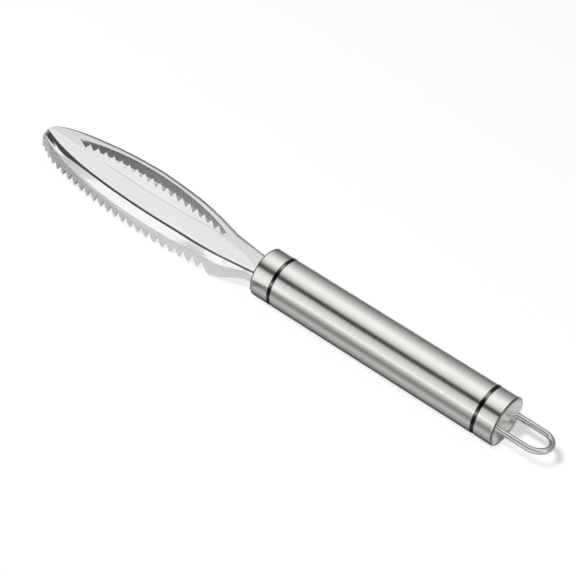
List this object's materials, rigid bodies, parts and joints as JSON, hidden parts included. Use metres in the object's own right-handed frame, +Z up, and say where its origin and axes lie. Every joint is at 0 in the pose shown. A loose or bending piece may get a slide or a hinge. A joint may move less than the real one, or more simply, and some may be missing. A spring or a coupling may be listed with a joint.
{
  "type": "fish scaler",
  "caption": "Hand fish scaler with a leaf-shaped channel blade, outer teeth and a toothed slot, on a round metal handle with a hanging loop.",
  "frame": {"origin": "on the handle's axis, at the middle of the handle tube", "axes": "+X along the handle towards the hanging loop, +Y away from the outer teeth, +Z up as the tool lies on a table"},
  "size_m": [0.2573, 0.0259, 0.021],
  "materials": {
    "polished_steel": "polished",
    "satin_steel": "satin, brushed along the handle",
    "black_plastic": "glossy"
  },
  "bodies": {
    "root": {"blade": "polished_steel", "front_cap": "satin_steel", "front_ring": "black_plastic", "handle_tube": "satin_steel", "rear_ring": "black_plastic", "end_cap": "satin_steel", "hanging_loop": "polished_steel"}
  },
  "joints": []
}
